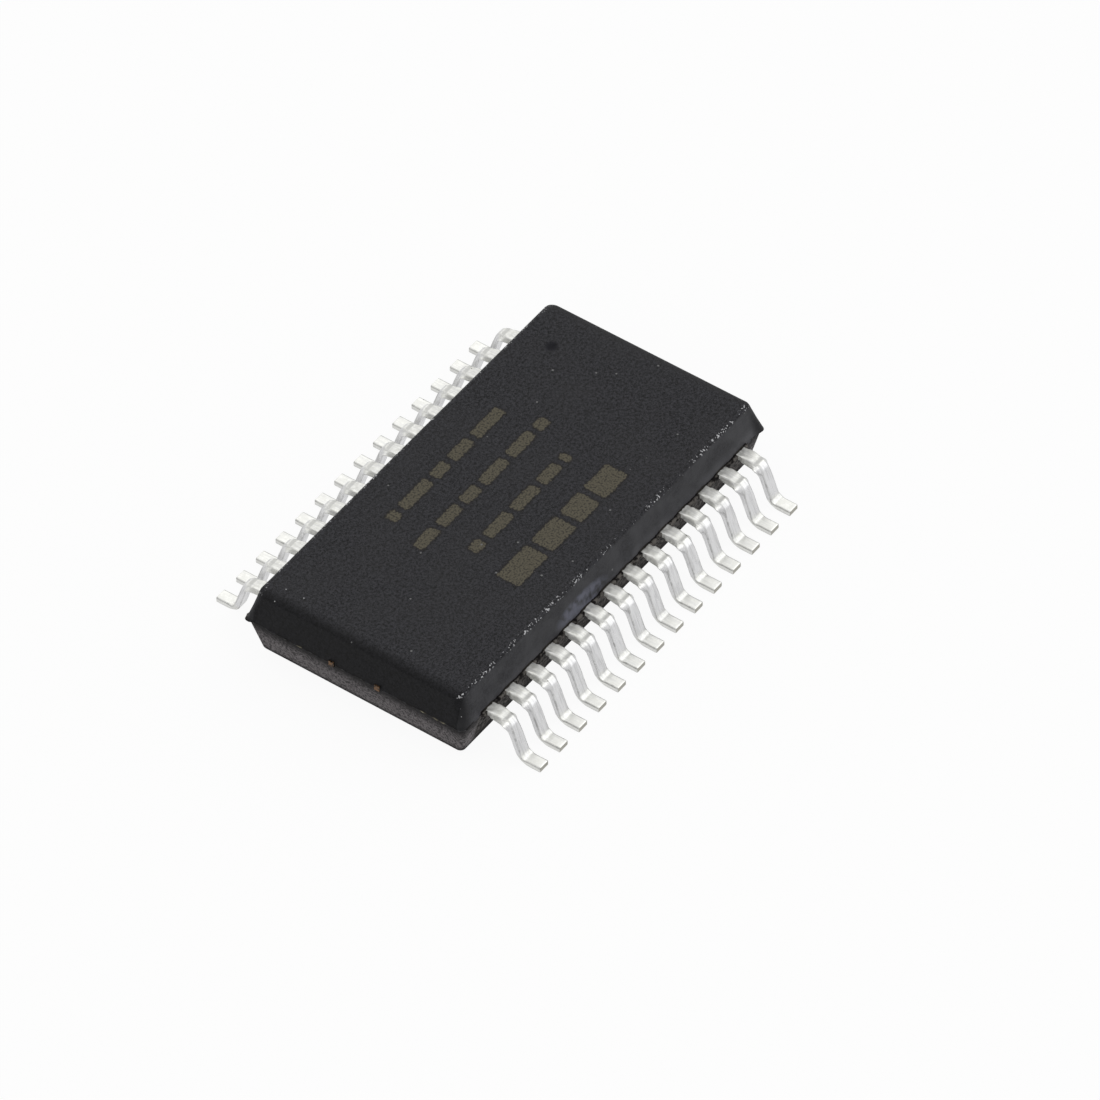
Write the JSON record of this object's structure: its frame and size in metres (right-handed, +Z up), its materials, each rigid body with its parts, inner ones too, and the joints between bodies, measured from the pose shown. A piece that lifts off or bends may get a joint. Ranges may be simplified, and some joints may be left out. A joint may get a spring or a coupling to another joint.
{
  "type": "usb to serial converter chip",
  "caption": "Black moulded surface-mount chip with a row of gull-wing leads along each long side, which are soldered to a circuit board and join a serial port to USB.",
  "frame": {"origin": "middle of the package on the board's surface, under the soles of the leads", "axes": "+X along the body towards the end with the first lead's dimple, +Y towards the row that holds the first lead, +Z up from the board"},
  "size_m": [0.0102, 0.008, 0.0017],
  "materials": {
    "moulding_compound": "matte black epoxy with a fine eroded grain",
    "tin_plate": "satin tin plating over copper alloy",
    "bare_copper": "bare rolled copper alloy",
    "silver_adhesive": "silver-filled epoxy",
    "silicon": "polished silicon",
    "gold_wire": "bright drawn gold"
  },
  "bodies": {
    "root": {"package_body": "moulding_compound", "die_paddle": "bare_copper", "die_attach": "silver_adhesive", "die": "silicon", "lead_01": "tin_plate", "lead_02": "tin_plate", "lead_03": "tin_plate", "lead_04": "tin_plate", "lead_05": "tin_plate", "lead_06": "tin_plate", "lead_07": "tin_plate", "lead_08": "tin_plate", "lead_09": "tin_plate", "lead_10": "tin_plate", "lead_11": "tin_plate", "lead_12": "tin_plate", "lead_13": "tin_plate", "lead_14": "tin_plate", "lead_15": "tin_plate", "lead_16": "tin_plate", "lead_17": "tin_plate", "lead_18": "tin_plate", "lead_19": "tin_plate", "lead_20": "tin_plate", "lead_21": "tin_plate", "lead_22": "tin_plate", "lead_23": "tin_plate", "lead_24": "tin_plate", "lead_25": "tin_plate", "lead_26": "tin_plate", "lead_27": "tin_plate", "lead_28": "tin_plate", "bond_wire_01": "gold_wire", "bond_wire_02": "gold_wire", "bond_wire_03": "gold_wire", "bond_wire_04": "gold_wire", "bond_wire_05": "gold_wire", "bond_wire_06": "gold_wire", "bond_wire_07": "gold_wire", "bond_wire_09": "gold_wire", "bond_wire_10": "gold_wire", "bond_wire_11": "gold_wire", "bond_wire_12": "gold_wire", "bond_wire_13": "gold_wire", "bond_wire_14": "gold_wire", "bond_wire_15": "gold_wire", "bond_wire_16": "gold_wire", "bond_wire_17": "gold_wire", "bond_wire_18": "gold_wire", "bond_wire_19": "gold_wire", "bond_wire_20": "gold_wire", "bond_wire_21": "gold_wire", "bond_wire_22": "gold_wire", "bond_wire_23": "gold_wire", "bond_wire_25": "gold_wire", "bond_wire_26": "gold_wire", "bond_wire_27": "gold_wire", "bond_wire_28": "gold_wire"}
  },
  "joints": []
}
